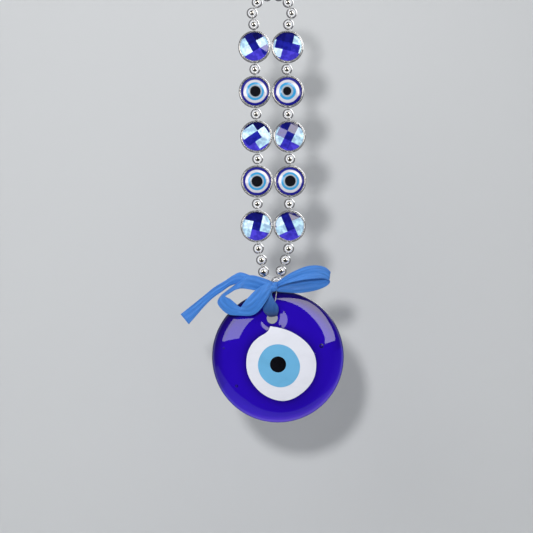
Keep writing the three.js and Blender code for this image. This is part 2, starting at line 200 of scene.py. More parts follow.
def spread(nodes, links, source, low, high):
    """The source, from 0 to 1, brought between two values."""
    made = nodes.new("ShaderNodeMapRange")
    made.inputs["To Min"].default_value = low
    made.inputs["To Max"].default_value = high
    links.new(source, made.inputs["Value"])
    return made.outputs["Result"]


def bumped(nodes, links, shader, height, strength, distance):
    bump = nodes.new("ShaderNodeBump")
    bump.inputs["Strength"].default_value = strength
    bump.inputs["Distance"].default_value = distance
    links.new(height, bump.inputs["Height"])
    links.new(bump.outputs["Normal"], shader.inputs["Normal"])


def multiplied(nodes, links, one, other, factor=1.0):
    mix = nodes.new("ShaderNodeMix")
    mix.data_type = "RGBA"
    mix.blend_type = "MULTIPLY"
    mix.inputs["Factor"].default_value = factor
    links.new(one, mix.inputs["A"])
    links.new(other, mix.inputs["B"])
    return mix.outputs["Result"]


def added(nodes, links, one, other):
    total = nodes.new("ShaderNodeMath")
    total.operation = "ADD"
    links.new(one, total.inputs[0])
    links.new(other, total.inputs[1])
    return total.outputs[0]


def attribute(nodes, name):
    made = nodes.new("ShaderNodeAttribute")
    made.attribute_name = name
    return made.outputs["Fac"]


def plated_silver(name, colours, wear):
    """Mirror plating with faint handling marks: wear is the roughness where it is most rubbed."""
    material, nodes, links, shader = surface(name, colours.silver, 0.05, Metallic=1.0)
    marks = object_noise(nodes, links, 900.0, 4.0)
    links.new(spread(nodes, links, marks, 0.03, wear), shader.inputs["Roughness"])
    bumped(nodes, links, shader, marks, 0.04, 0.01 * MM)
    return material


def crystal_material(colours):
    material, nodes, links, shader = surface("cut_crystal", colours.crystal, 0.03, IOR=1.8)
    # The facet attribute holds painted light: pale glare, lilac reflections, and navy to violet painted
    # shade from top to foot of each stone.
    painted_facet_light = attribute(nodes, "painted_facet_light")
    colour = tuple(colours.crystal)
    deep = tuple(0.22 * value for value in colour)
    violet, painted_lilac, painted_glare = (0.075, 0.055, 0.68), (0.20, 0.18, 0.42), (0.52, 0.79, 0.97)
    stops = [
        (0.0, deep), (0.35, tuple(0.6 * value for value in colour)), (0.55, colour),
        (0.78, violet), (0.84, violet), (0.86, painted_lilac), (0.90, painted_lilac), (0.92, painted_glare), (1.0, painted_glare),
    ]
    shade = ramp(nodes, links, painted_facet_light, stops)
    # Painted glints: random flecks brighten or darken the facets' colour.
    flecks = object_noise(nodes, links, 420.0, 1.0)
    glint_stops = [(0.42, (0.45, 0.45, 0.6)), (0.6, (1.25, 1.25, 1.15))]
    glints = ramp(nodes, links, flecks, glint_stops)
    links.new(multiplied(nodes, links, shade, glints, 0.55), shader.inputs["Base Color"])
    return material


def cabochon_material(colours):
    """Rings of an eye under clear resin, by the share of the insert's radius."""
    material, nodes, links, shader = surface(
        "domed_resin", colours.white, 0.08, Coat_Weight=1.0, Coat_Roughness=0.02, IOR=1.55
    )
    share = attribute(nodes, "share")
    black, rim = (0.006, 0.006, 0.010), (0.010, 0.010, 0.26)
    blue, pale, white = (0.040, 0.34, 0.68), (0.38, 0.45, 0.52), (0.66, 0.64, 0.70)
    edges = [
        (0.0, black), (0.35, black), (0.39, pale), (0.46, pale), (0.49, blue), (0.615, blue),
        (0.65, white), (0.80, white), (0.84, rim), (0.95, rim), (1.0, (0.004, 0.004, 0.10)),
    ]
    wobble = object_noise(nodes, links, 260.0, 2.0)
    uneven = spread(nodes, links, wobble, -0.02, 0.02)
    shifted = added(nodes, links, share, uneven)
    links.new(ramp(nodes, links, shifted, edges), shader.inputs["Base Color"])
    return material


def cobalt_material(colours):
    """Deep glass, with painted shade nearly black round the upper edge and painted violet light low
    down.
    """
    material, nodes, links, shader = surface(
        "cast_cobalt", colours.glass, 0.02, IOR=1.5, Coat_Weight=0.3, Coat_Roughness=0.01
    )
    # The glow attribute holds painted light and shade, set on the disc and the bubbles.
    glow = attribute(nodes, "glow")
    colour = tuple(colours.glass)
    stops = [
        (0.0, (0.004, 0.0012, 0.055)),
        (0.35, (0.012, 0.0018, 0.20)),
        (0.6, colour),
        (0.8, (0.032, 0.008, 0.50)),
        (1.0, (0.085, 0.030, 0.64)),
    ]
    shade = ramp(nodes, links, glow, stops)
    clouds = object_noise(nodes, links, 38.0, 2.0)
    cloud_stops = [(0.3, (0.86, 0.9, 0.9)), (0.7, (1.08, 1.05, 1.04))]
    streaks = ramp(nodes, links, clouds, cloud_stops)
    links.new(multiplied(nodes, links, shade, streaks), shader.inputs["Base Color"])
    ripple = object_noise(nodes, links, 55.0, 1.0)
    bumped(nodes, links, shader, ripple, 0.10, 0.25 * MM)
    return material


def fused_material(name, colour, veins, contrast):
    """Opaque glass melted into the disc, with faint swirls."""
    material, nodes, links, shader = surface(name, colour, 0.06, IOR=1.5)
    swirl = object_noise(nodes, links, veins, 3.0, (1.0, 1.0, 2.2), distortion=1.4)
    dark = tuple(value * (1 - contrast) for value in colour)
    light = tuple(min(1, value * (1 + contrast * 0.5)) for value in colour)
    stops = [(0.32, dark), (0.5, tuple(colour)), (0.7, light)]
    links.new(ramp(nodes, links, swirl, stops), shader.inputs["Base Color"])
    ripple = object_noise(nodes, links, 90.0, 1.0)
    bumped(nodes, links, shader, ripple, 0.08, 0.2 * MM)
    return material


def nylon_material():
    material, nodes, links, shader = surface(
        "nylon_line", (0.86, 0.87, 0.88), 0.18, Transmission_Weight=0.55, IOR=1.53
    )
    kinks = object_noise(nodes, links, 700.0, 2.0)
    links.new(spread(nodes, links, kinks, 0.12, 0.28), shader.inputs["Roughness"])
    return material


def satin_material(colours):
    """Ribbon: threads along and finer ones across, by its UV map in mm; darker with painted shade
    towards the glass's hole.
    """
    material, nodes, links, shader = surface(
        "woven_satin", colours.ribbon, 0.42, Sheen_Weight=0.25, Sheen_Roughness=0.35
    )
    uv = nodes.new("ShaderNodeUVMap")
    uv.uv_map = "ribbon"

    def woven(across, along, detail):
        return noise_on(nodes, links, uv.outputs["UV"], 1.0, detail, (across, along, 1))

    threads = woven(7.5, 0.35, 2.0)
    slubs = woven(0.75, 0.05, 2.0)
    picks = woven(0.6, 9.0, 1.0)
    base = tuple(colours.ribbon)
    dark = tuple(value * 0.80 for value in base)
    light = (base[0] * 1.6, base[1] * 1.3, min(1, base[2] * 1.18))
    shade = ramp(nodes, links, slubs, [(0.28, dark), (0.5, base), (0.74, light)])
    fine = ramp(nodes, links, threads, [(0.3, (0.84, 0.86, 0.9)), (0.7, (1.14, 1.10, 1.06))])
    # Painted shade: the colour darkens towards the hole through the glass.
    hole_shade_mix = nodes.new("ShaderNodeMix")
    hole_shade_mix.data_type = "RGBA"
    hole_shade_mix.inputs["B"].default_value = (base[0] * 0.2, base[1] * 0.16, base[2] * 0.2, 1)
    links.new(attribute(nodes, "painted_hole_shade"), hole_shade_mix.inputs["Factor"])
    links.new(multiplied(nodes, links, shade, fine), hole_shade_mix.inputs["A"])
    links.new(hole_shade_mix.outputs["Result"], shader.inputs["Base Color"])
    links.new(spread(nodes, links, threads, 0.34, 0.52), shader.inputs["Roughness"])
    bumped(nodes, links, shader, added(nodes, links, threads, picks), 0.35, 0.10 * MM)
    return material


def once(name, make, *args):
    """The material of that name, made the first time it is asked for."""
    return bpy.data.materials.get(name) or make(*args)


def settings(context):
    return context.scene.eye_sizes, context.scene.eye_colours


# ---- Meshes ----


def linked(name, mesh):
    obj = bpy.data.objects.new(name, mesh)
    bpy.context.scene.collection.objects.link(obj)
    return obj


def add_mesh(name, verts, faces, smooth=True):
    mesh = bpy.data.meshes.new(name)
    mesh.from_pydata([tuple(v) for v in verts], [], faces)
    mesh.shade_smooth() if smooth else mesh.shade_flat()
    mesh.update()
    return linked(name, mesh)


def mesh_from(name, made):
    mesh = bpy.data.meshes.new(name)
    made.to_mesh(mesh)
    made.free()
    return mesh


def band_faces(rings, around, closed=False):
    """Quads between rings of points, and from the last ring to the first if closed."""
    faces = []
    for i in range(rings if closed else rings - 1):
        a, b = i * around, (i + 1) % rings * around
        faces += [(a + k, a + (k + 1) % around, b + (k + 1) % around, b + k) for k in range(around)]
    return faces


def tidy_normals(mesh, merge=1e-7):
    made = bmesh.new()
    made.from_mesh(mesh)
    bmesh.ops.remove_doubles(made, verts=made.verts, dist=merge)
    bmesh.ops.recalc_face_normals(made, faces=made.faces)
    made.to_mesh(mesh)
    made.free()


def float_attribute(mesh, name, values, domain="POINT"):
    layer = mesh.attributes.new(name, "FLOAT", domain)
    layer.data.foreach_set("value", np.asarray(values, np.float32))


def closed_lathe(name, profile, segments):
    """A closed outline of (radius, height) pairs turned about Z."""
    count = len(profile)
    verts = []
    for i in range(segments):
        turn = 2 * math.pi * i / segments
        verts += [(r * math.cos(turn), r * math.sin(turn), h) for r, h in profile]
    faces = []
    for i in range(segments):
        a, b = i * count, (i + 1) % segments * count
        faces += [
            (a + j, b + j, b + (j + 1) % count, a + (j + 1) % count) for j in range(count)
        ]
    obj = add_mesh(name, verts, faces)
    tidy_normals(obj.data)
    return obj


def finish_piece(obj, body, material=None, replaced=()):
    if material:
        obj.data.materials.clear()
        obj.data.materials.append(material)
    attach(obj, body)
    if replaced:
        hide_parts(*replaced)
    return obj


def smooth_path(points, steps):
    """Points along a centripetal Catmull-Rom curve, evenly spaced by control span."""
    points = [Vector(p) for p in points]
    ends = [2 * points[0] - points[1], *points, 2 * points[-1] - points[-2]]
    made = []
    for p0, p1, p2, p3 in zip(ends, ends[1:], ends[2:], ends[3:]):
        t0 = 0.0
        t1 = t0 + max((p1 - p0).length ** 0.5, 1e-6)
        t2 = t1 + max((p2 - p1).length ** 0.5, 1e-6)
        t3 = t2 + max((p3 - p2).length ** 0.5, 1e-6)
        for i in range(steps):
            t = t1 + (t2 - t1) * i / steps
            a1 = p0 * ((t1 - t) / (t1 - t0)) + p1 * ((t - t0) / (t1 - t0))
            a2 = p1 * ((t2 - t) / (t2 - t1)) + p2 * ((t - t1) / (t2 - t1))
            a3 = p2 * ((t3 - t) / (t3 - t2)) + p3 * ((t - t2) / (t3 - t2))
            b1 = a1 * ((t2 - t) / (t2 - t0)) + a2 * ((t - t0) / (t2 - t0))
            b2 = a2 * ((t3 - t) / (t3 - t1)) + a3 * ((t - t1) / (t3 - t1))
            made.append(b1 * ((t2 - t) / (t2 - t1)) + b2 * ((t - t1) / (t2 - t1)))
    return [*made, points[-1]]


# ---- Pieces threaded on the string, placed by Geometry Nodes ----


def threading_tree():
    """Sets a pattern of unit diameter on each point, turned by its "turn", with a drilled bore."""
    tree = bpy.data.node_groups.new("Thread on the string", "GeometryNodeTree")
    face = tree.interface
    face.new_socket("Geometry", in_out="INPUT", socket_type="NodeSocketGeometry")
    face.new_socket("Pattern", in_out="INPUT", socket_type="NodeSocketObject")
    for name, default in (("Diameter", 5.7 * MM), ("Bore", 2.2 * MM)):
        socket = face.new_socket(name, in_out="INPUT", socket_type="NodeSocketFloat")
        socket.subtype = "DISTANCE"
        socket.default_value = default
    face.new_socket("Material", in_out="INPUT", socket_type="NodeSocketMaterial")
    face.new_socket("Geometry", in_out="OUTPUT", socket_type="NodeSocketGeometry")
    nodes, links = tree.nodes, tree.links
    start, end = nodes.new("NodeGroupInput"), nodes.new("NodeGroupOutput")
    pattern = nodes.new("GeometryNodeObjectInfo")
    share = nodes.new("ShaderNodeMath")
    share.operation = "DIVIDE"
    halved = nodes.new("ShaderNodeMath")
    halved.operation = "MULTIPLY"
    halved.inputs[1].default_value = 0.5
    drill = nodes.new("GeometryNodeMeshCylinder")
    drill.inputs["Vertices"].default_value = 24
    drill.inputs["Depth"].default_value = 1.3
    cut = nodes.new("GeometryNodeMeshBoolean")
    cut.operation = "DIFFERENCE"
    turn = nodes.new("GeometryNodeInputNamedAttribute")
    turn.data_type = "FLOAT_VECTOR"
    turn.inputs["Name"].default_value = "turn"
    place = nodes.new("GeometryNodeInstanceOnPoints")
    real = nodes.new("GeometryNodeRealizeInstances")
    coat = nodes.new("GeometryNodeSetMaterial")
    join(
        links,
        (start, "Pattern", pattern, "Object"),
        (start, "Bore", share, 0),
        (start, "Diameter", share, 1),
        (share, 0, halved, 0),
        (halved, 0, drill, "Radius"),
        (pattern, "Geometry", cut, "Mesh 1"),
        (drill, "Mesh", cut, "Mesh 2"),
        (start, "Geometry", place, "Points"),
        (cut, "Mesh", place, "Instance"),
        (turn, "Attribute", place, "Rotation"),
        (start, "Diameter", place, "Scale"),
        (place, "Instances", real, "Geometry"),
        (real, "Geometry", coat, "Geometry"),
        (start, "Material", coat, "Material"),
        (coat, "Geometry", end, "Geometry"),
    )
    return tree


def thread(name, stations, pattern, diameter, bore, material):
    """One mesh of the pattern at every station: a middle and a turn."""
    points = add_mesh(name + "_stations", [place for place, turn in stations], [])
    turns = points.data.attributes.new("turn", "FLOAT_VECTOR", "POINT")
    turns.data.foreach_set("vector", [value for _, turn in stations for value in turn])
    tree = bpy.data.node_groups.get("Thread on the string") or threading_tree()
    modifier = points.modifiers.new("Thread", "NODES")
    modifier.node_group = tree
    given = {"Pattern": pattern, "Diameter": diameter, "Bore": bore, "Material": material}
    for item in tree.interface.items_tree:
        if item.in_out == "INPUT" and item.name in given:
            modifier[item.identifier] = given[item.name]
    bpy.context.view_layer.update()
    evaluated = points.evaluated_get(bpy.context.evaluated_depsgraph_get())
    mesh = bpy.data.meshes.new_from_object(evaluated)
    mesh.name = name
    bpy.data.objects.remove(points)
    if not mesh.vertices:
        raise RuntimeError(f"{name}: nothing was threaded")
    return linked(name, mesh)


def bead_pattern():
    """A ball of unit diameter, poles closed: the bore is drilled in the tree."""
    made = bmesh.new()
    bmesh.ops.create_uvsphere(made, u_segments=40, v_segments=26, radius=0.5)
    mesh = mesh_from("bead_pattern", made)
    mesh.shade_smooth()
    return linked("bead_pattern", mesh)


# Half of a bezel's section in mm, from its barrel over the rim, the groove and the lip to the
# wall round the insert: radius, and height over the middle plane.
BEZEL_SECTION = [
    (8.50, 0.0), (8.49, 0.80), (8.45, 1.15), (8.36, 1.42), (8.22, 1.66), (8.08, 1.86),
    (7.98, 1.98), (7.92, 1.95), (7.87, 1.82), (7.82, 1.85), (7.77, 2.05), (7.70, 2.20),
    (7.62, 2.20), (7.56, 2.02), (7.53, 1.60), (7.52, 0.0),
]


def bezel_pattern():
    front = [(r / 17.0, h / 17.0) for r, h in BEZEL_SECTION]
    back = [(r, -h) for r, h in reversed(front) if h > 0]
    ring = closed_lathe("bezel_pattern", front + back, 96)
    # The face points along Y, and the string along Z.
    ring.data.transform(Matrix.Rotation(math.pi / 2, 4, "X"))
    return ring


def turn_to(along):
    return tuple(along.to_track_quat("Z", "Y").to_euler())


def facing_turn(along):
    """The turn of a bezel: it keeps facing the front and leans with the string."""
    return (0.0, math.atan2(-along.x, -along.z), 0.0)


class EYE_OT_plain_beads(bpy.types.Operator):
    """Thread the plated beads of the loop, between the rows and below them"""

    bl_idname = "eye.plain_beads"
    bl_label = "Plain Beads"

    def execute(self, context):
        sizes, colours = settings(context)
        silver = once("plated_bead", plated_silver, "plated_bead", colours, 0.11)
        pattern = bead_pattern()
        groups = {
            "hanging_loop": [f"loop_bead_{side}_{i}" for side in SIDES for i in (1, 2, 3, 4)]
        }
        for side in SIDES:
            for row in ROWS[:-1]:
                groups[f"{side}_row_{row}"] = [f"spacer_bead_{side}_{row}"]
            lowest = [f"lower_bead_{side}_{i}" for i in (1, 2, 3)]
            groups[f"{side}_row_5"] = lowest + ["collector_bead"] * (side == "left")
        for body, names in groups.items():
            stations = [(PLACES[name][0], turn_to(PLACES[name][1])) for name in names]
            beads = thread(
                f"beads_{body}", stations, pattern, sizes.bead, sizes.bore, silver
            )
            finish_piece(beads, body, replaced=names)
        bpy.data.objects.remove(pattern)
        return {"FINISHED"}


class EYE_OT_bezels(bpy.types.Operator):
    """Thread the grooved bezel rings, one for each insert"""

    bl_idname = "eye.bezels"
    bl_label = "Bezel Rings"

    def execute(self, context):
        sizes, colours = settings(context)
        silver = once("plated_bezel", plated_silver, "plated_bezel", colours, 0.16)
        pattern = bezel_pattern()
        for side in SIDES:
            for row in ROWS:
                node = f"bezel_ring_{side}_{row}"
                here, along = PLACES[node]
                stations = [(here, facing_turn(along))]
                ring = thread(
                    f"bezel_{side}_{row}", stations, pattern, sizes.bezel, sizes.bore, silver
                )
                finish_piece(ring, f"{side}_bezel_{row}", replaced=[node])
        bpy.data.objects.remove(pattern)
        return {"FINISHED"}


# ---- Inserts ----

INSERT_EDGE = 1.6 * MM  # half the thickness at the girdle
INSERT_PLAY = 0.06 * MM  # between an insert and the ring's wall, all round


def drilled(obj, along, bore):
    """The piece with the string's bore through it, as a plain mesh."""
    reach = 12 * MM
    section = [(bore / 2, -reach), (bore / 2, reach), (0, reach), (0, -reach)]
    drill = closed_lathe("drill", section, 20)
    drill.data.transform(along.to_track_quat("Z", "Y").to_matrix().to_4x4())
    drill.data.transform(Matrix.Translation(drilled_middle(obj)))
    modifier = obj.modifiers.new("Bore", "BOOLEAN")
    modifier.operation = "DIFFERENCE"
    modifier.object = drill
    bpy.context.view_layer.update()
    mesh = bpy.data.meshes.new_from_object(
        obj.evaluated_get(bpy.context.evaluated_depsgraph_get())
    )
    obj.modifiers.clear()
    obj.data = mesh
    bpy.data.objects.remove(drill)
    return obj


def drilled_middle(obj):
    corners = [Vector(corner) for corner in obj.bound_box]
    return sum(corners, Vector()) / len(corners)


def facet_painted_light(offset, radius, rng):
    """How a facet is painted: painted foil glare to the left and right, painted lilac reflection on
    some upper sides, and painted light and shade, navy at the top and violet at the foot.
    """
    across, up = offset.x / radius, offset.z / radius
    chance = rng.random()
    if abs(across) > 0.30 and abs(up) < 0.50 and chance < 0.78:
        return 0.97
    if abs(across) > 0.25 and up > 0.1 and chance < 0.40:
        return 0.88
    return min(0.82, max(0.0, 0.50 - 0.42 * up + 0.22 * (rng.random() - 0.5)))


def cut_crystal(name, here, lean, turn, radius, facet, crown, rng):
    """A checkerboard-cut stone: square facets on a dome, the same on both faces."""
    made = bmesh.new()
    bmesh.ops.create_cone(
        made, cap_ends=True, segments=48, radius1=radius, radius2=radius, depth=2 * INSERT_EDGE
    )
    bow = crown / radius**2
    grid = [(k - 0.5) * facet for k in range(-2, 4)]
    for along in (Vector((1, 0, 0)), Vector((0, 1, 0))):
        for offset in grid:
            bmesh.ops.bisect_plane(
                made,
                geom=[*made.verts, *made.edges, *made.faces],
                plane_co=along * offset,
                plane_no=along,
                dist=1e-7,
            )
    for vert in made.verts:
        squared = vert.co.x**2 + vert.co.y**2
        side = 1 if vert.co.z > 0 else -1
        vert.co.z = side * (INSERT_EDGE + bow * (radius**2 - squared))
    bmesh.ops.recalc_face_normals(made, faces=made.faces)
    mesh = mesh_from(name, made)
    mesh.transform(
        Matrix.Translation(here)
        @ Matrix.Rotation(lean, 4, "Y")
        @ Matrix.Rotation(math.pi / 2, 4, "X")
        @ Matrix.Rotation(turn, 4, "Z")
    )
    mesh.shade_flat()
    # Each facet gets its painted glare, reflection and shade from where it sits on the stone.
    facet_painted_lights = [facet_painted_light(face.center - here, radius, rng) for face in mesh.polygons]
    float_attribute(mesh, "painted_facet_light", facet_painted_lights, "FACE")
    return linked(name, mesh)


# Turn of each crystal's facets about its own face, in degrees.
CRYSTAL_TURNS = {
    ("left", 1): 28, ("right", 1): -12, ("left", 3): 32, ("right", 3): -28,
    ("left", 5): -14, ("right", 5): 24,
}


class EYE_OT_crystals(bpy.types.Operator):
    """Cut the faceted crystals of rows one, three and five"""

    bl_idname = "eye.crystals"
    bl_label = "Crystals"

    def execute(self, context):
        sizes, colours = settings(context)
        stone = once("cut_crystal", crystal_material, colours)
        rng = np.random.default_rng(sizes.seed)
        for (side, row), degrees in CRYSTAL_TURNS.items():
            node = f"crystal_{side}_{row}"
            here, along = PLACES[f"bezel_ring_{side}_{row}"]
            lean = facing_turn(along)[1]
            crystal = cut_crystal(
                f"faceted_{node}", here, lean, math.radians(degrees),
                sizes.insert / 2 - INSERT_PLAY, sizes.facet, sizes.crown, rng,
            )
            drilled(crystal, along, sizes.bore)
            finish_piece(crystal, f"{side}_bezel_{row}", stone, [node])
        return {"FINISHED"}


# Each printed eye: how far its middle is off the insert's, X and Z in mm, and how much its
# rings are drawn in towards the middle.
PRINTS = {
    ("left", 2): (0.45, -0.10, -0.04), ("right", 2): (-0.50, 0.10, 0.14),
    ("left", 4): (0.10, -0.20, -0.06), ("right", 4): (0.10, 0.10, -0.05),
}


class EYE_OT_cabochons(bpy.types.Operator):
    """Dome the resin eyes of rows two and four"""

    bl_idname = "eye.cabochons"
    bl_label = "Eye Cabochons"

    def execute(self, context):
        sizes, colours = settings(context)
        resin = once("domed_resin", cabochon_material, colours)
        radius = sizes.insert / 2 - INSERT_PLAY
        rows = 22
        shares = [math.sin(math.pi / 2 * i / rows) for i in range(rows + 1)]
        half = [
            (radius * s, INSERT_EDGE + sizes.crown * (1 - s**2) ** 0.8) for s in shares
        ]
        outline = half + [(r, -h) for r, h in reversed(half)]
        for side in SIDES:
            for row in (2, 4):
                node = f"eye_cabochon_{side}_{row}"
                here, along = PLACES[f"bezel_ring_{side}_{row}"]
                dome = closed_lathe(f"domed_{node}", outline, 64)
                dome.data.transform(
                    Matrix.Translation(here)
                    @ Matrix.Rotation(facing_turn(along)[1], 4, "Y")
                    @ Matrix.Rotation(math.pi / 2, 4, "X")
                )
                drilled(dome, along, sizes.bore)
                aside, above, drawn_in = PRINTS[side, row]
                values = []
                for vert in dome.data.vertices:
                    edge = min(1.0, math.hypot(vert.co.x - here.x, vert.co.z - here.z) / radius)
                    aim = here + Vector((aside, 0, above)) * MM * (1 - edge)
                    off = math.hypot(vert.co.x - aim.x, vert.co.z - aim.z) / radius
                    values.append(off + drawn_in * (1 - edge) ** 2)
                float_attribute(dome.data, "share", values)
                finish_piece(dome, f"{side}_bezel_{row}", resin, [node])
        return {"FINISHED"}


# ---- Nylon line ----


def tube(name, path, radius, sides=12):
    """A closed round tube along a path."""
    made, previous = [], None
    for i, here in enumerate(path):
        onward = (path[min(i + 1, len(path) - 1)] - path[max(i - 1, 0)]).normalized()
        across = previous or onward.orthogonal()
        across = (across - onward * across.dot(onward)).normalized()
        other = onward.cross(across)
        previous = across
        for k in range(sides):
            turn = 2 * math.pi * k / sides
            made.append(here + radius * (across * math.cos(turn) + other * math.sin(turn)))
    faces = band_faces(len(path), sides)
    faces.append(tuple(reversed(range(sides))))
    faces.append(tuple((len(path) - 1) * sides + k for k in range(sides)))
    obj = add_mesh(name, made, faces)
    tidy_normals(obj.data)
    return obj


def pendant_route():
    """The line's way from the collector bead over the glass, through its hole and back up, in mm
    until it is smoothed."""
    bead, hole = COLLECTOR / MM, HOLE / MM
    top, rim = bead.z - 3.3, bead.z - 4.8
    front = glass_front(HOLE.x, HOLE.z) / MM - 0.55
    back = DISC_BACK / MM + 0.55
    low = hole.z + 2.15
    stations = [
        (bead.x, -0.45, top),
        (bead.x, -1.6, top - 0.3),
        (bead.x - 0.1, -2.9, rim - 0.9),
        (bead.x - 0.5, front + 0.3, rim - 4.0),
        (hole.x + 0.7, front - 0.2, hole.z + 7.0),
        (hole.x + 0.2, front - 0.1, hole.z + 4.2),
        (hole.x, front + 0.9, low + 0.4),
        (hole.x, front + 2.2, low),
        (hole.x, 0.0, low),
        (hole.x, back - 1.6, low),
        (hole.x, back - 0.2, low + 0.35),
        (hole.x + 0.1, back, hole.z + 4.2),
        (hole.x + 0.7, back, hole.z + 9.0),
        (bead.x - 0.2, back, rim - 2.2),
        (bead.x, back - 0.35, rim - 0.1),
        (bead.x, 2.3, top - 0.05),
        (bead.x, 0.45, top),
    ]
    return smooth_path([Vector(station) * MM for station in stations], 8)


class EYE_OT_line(bpy.types.Operator):
    """Run the clear nylon line: the lengths inside the beads, and the one that holds the glass"""

    bl_idname = "eye.line"
    bl_label = "Nylon Line"

    def execute(self, context):
        nylon = once("nylon_line", nylon_material)
        inside = ["cord_loop"] + [f"cord_{side}_{row}" for side in SIDES for row in ROWS]
        for node in inside:
            mesh = frame["nodes"][node].data
            mesh.materials.clear()
            mesh.materials.append(nylon)
        line = tube("line_to_glass", pendant_route(), context.scene.eye_sizes.line / 2)
        finish_piece(line, "bow", nylon, ["cord_pendant"])
        return {"FINISHED"}


# ---- Glass eye ----

DOME_POWER = 3  # the dome falls with this power of its radius
CROWN = 5.0 * MM
LIP = 34.3 * MM  # where the dome turns into the rounded rim
# The dark line round the white glass is painted shade.
SHADE_REACH = 1.9 * MM  # of the dark line round the white glass
FRONT_ONLY = 2.5 * MM  # the dark line stays this far in front of the back
DIMPLE = 9.4 * MM  # reach of the hollow round the hole
DIMPLE_FLOOR = 2.9 * MM  # radius of the hollow's level floor
DIMPLE_DEPTH = 1.25 * MM


def glass_front(x, z):
    """Y of the dome at a point, with the soft hollow round the hole."""
    away = math.hypot(x - DISC.x, z - DISC.z)
    dome = DISC_FRONT + CROWN * (away / DISC_RADIUS) ** DOME_POWER
    near = math.hypot(x - HOLE.x, z - HOLE.z)
    sink = max(0.0, 1 - max(0.0, near - DIMPLE_FLOOR) / (DIMPLE - DIMPLE_FLOOR))
    return dome + DIMPLE_DEPTH * sink * sink * (3 - 2 * sink)


# The rounded rim from the dome's edge to the flat back: inset from the full radius, and the
# share of the way from the dome's edge to the back.
RIM = [
    (0.42, 0.06), (0.20, 0.15), (0.07, 0.27), (0.0, 0.42), (0.03, 0.58), (0.16, 0.74),
    (0.42, 0.87), (0.85, 0.95), (1.5, 0.99), (2.4, 1.0),
]


def disc_rows(hole_radius):
    """Rings of the disc's skin: each is (centre, radius, height at a point)."""
    centre, hole = Vector((DISC.x, DISC.z)), Vector((HOLE.x, HOLE.z))
    reach = 56

    def between(share, outer):
        return hole.lerp(centre, share), hole_radius * (1 - share) + outer * share

    rows = []
    for i in range(reach + 1):
        share = (i / reach) ** 1.35
        rows.append((*between(share, LIP), glass_front))
    edge = DISC_FRONT + CROWN * (LIP / DISC_RADIUS) ** DOME_POWER
    for inset, share in RIM:
        height = edge + (DISC_BACK - edge) * share
        rows.append((centre, DISC_RADIUS - inset * MM, lambda x, z, y=height: y))
    flat = lambda x, z: DISC_BACK
    for i in range(1, 15):
        rows.append((*between(1 - i / 14 * 0.985, DISC_RADIUS - 2.4 * MM), flat))
    bore = [(0.12, 0.0), (0.03, 0.12), (0.0, 0.4), (0.0, 2.0), (0.0, 3.6)]
    for inset, depth in bore:
        at = DISC_BACK - depth * MM
        rows.append((hole, hole_radius + inset * MM, lambda x, z, y=at: y))
    return rows


class EYE_OT_disc(bpy.types.Operator):
    """Cast the cobalt disc, with its dome, rounded rim, and hole in a soft hollow"""

    bl_idname = "eye.disc"
    bl_label = "Glass Disc"

    def execute(self, context):
        sizes, colours = settings(context)
        glass = once("cast_cobalt", cobalt_material, colours)
        around = 160
        rows = disc_rows(sizes.hole / 2)
        verts = []
        for centre, radius, height in rows:
            for k in range(around):
                turn = 2 * math.pi * k / around
                x, z = centre.x + radius * math.cos(turn), centre.y + radius * math.sin(turn)
                verts.append((x, height(x, z), z))
        disc = add_mesh("cobalt_disc", verts, band_faces(len(rows), around, closed=True))
        tidy_normals(disc.data)
        white_edge = np.array(closed_outline(WHITE_OUTLINE, WHITE_FIT, 4)) * MM
        # Painted light and shade: lighter violet low on the rim, darker on the upper rim, and a dark
        # line round the white glass.
        glow = []
        for vert in disc.data.vertices:
            x, z = vert.co.x - DISC.x, vert.co.z - DISC.z
            share = min(1.0, math.hypot(x, z) / DISC_RADIUS)
            low = -z / (DISC_RADIUS * max(share, 0.3)) + 0.35 * x / DISC_RADIUS
            edge = max(0.0, (share - 0.82) / 0.18)
            shaded = 0.0
            if vert.co.y < DISC_BACK - FRONT_ONLY:
                shaded = math.exp(-np.hypot(*(white_edge - (x, z)).T).min() / SHADE_REACH)
            lit = 0.6 + 0.46 * low * edge - 0.20 * edge * (low < 0.2) - 0.30 * shaded
            glow.append(min(1.0, max(0.0, lit)))
        float_attribute(disc.data, "glow", glow)
        finish_piece(disc, "glass_eye", glass, ["glass_disc"])
        bubbles(glass)
        return {"FINISHED"}


# Small bubbles just under the dome: place from the middle of the disc, and radius, in mm.
BUBBLES = [(22.9, 6.0, 1.15), (-21.8, -15.2, 0.75), (-28.6, 4.6, 0.45), (3.6, 23.8, 0.4)]


def bubbles(glass):
    """Seeds of air that swell the skin of the glass a little."""
    made = bmesh.new()
    for x, z, radius in BUBBLES:
        px, pz = DISC.x + x * MM, DISC.z + z * MM
        ball = bmesh.ops.create_uvsphere(made, u_segments=20, v_segments=12, radius=radius * MM)
        for vert in ball["verts"]:
            vert.co += Vector((px, 0, pz))
            vert.co.y = 0.10 * vert.co.y + glass_front(vert.co.x, vert.co.z) - 0.02 * MM
    mesh = mesh_from("glass_bubbles", made)
    mesh.shade_smooth()
    places = [(DISC.x + x * MM, DISC.z + z * MM, radius * MM) for x, z, radius in BUBBLES]
    # Painted light and shade: each bubble is lighter in its middle and nearly black round its edge.
    glow = []
    for vert in mesh.vertices:
        away = min(math.hypot(vert.co.x - x, vert.co.z - z) / size for x, z, size in places)
        glow.append(0.72 if away < 0.42 else 0.0)
    float_attribute(mesh, "glow", glow)
    finish_piece(linked("glass_bubbles", mesh), "glass_eye", glass)


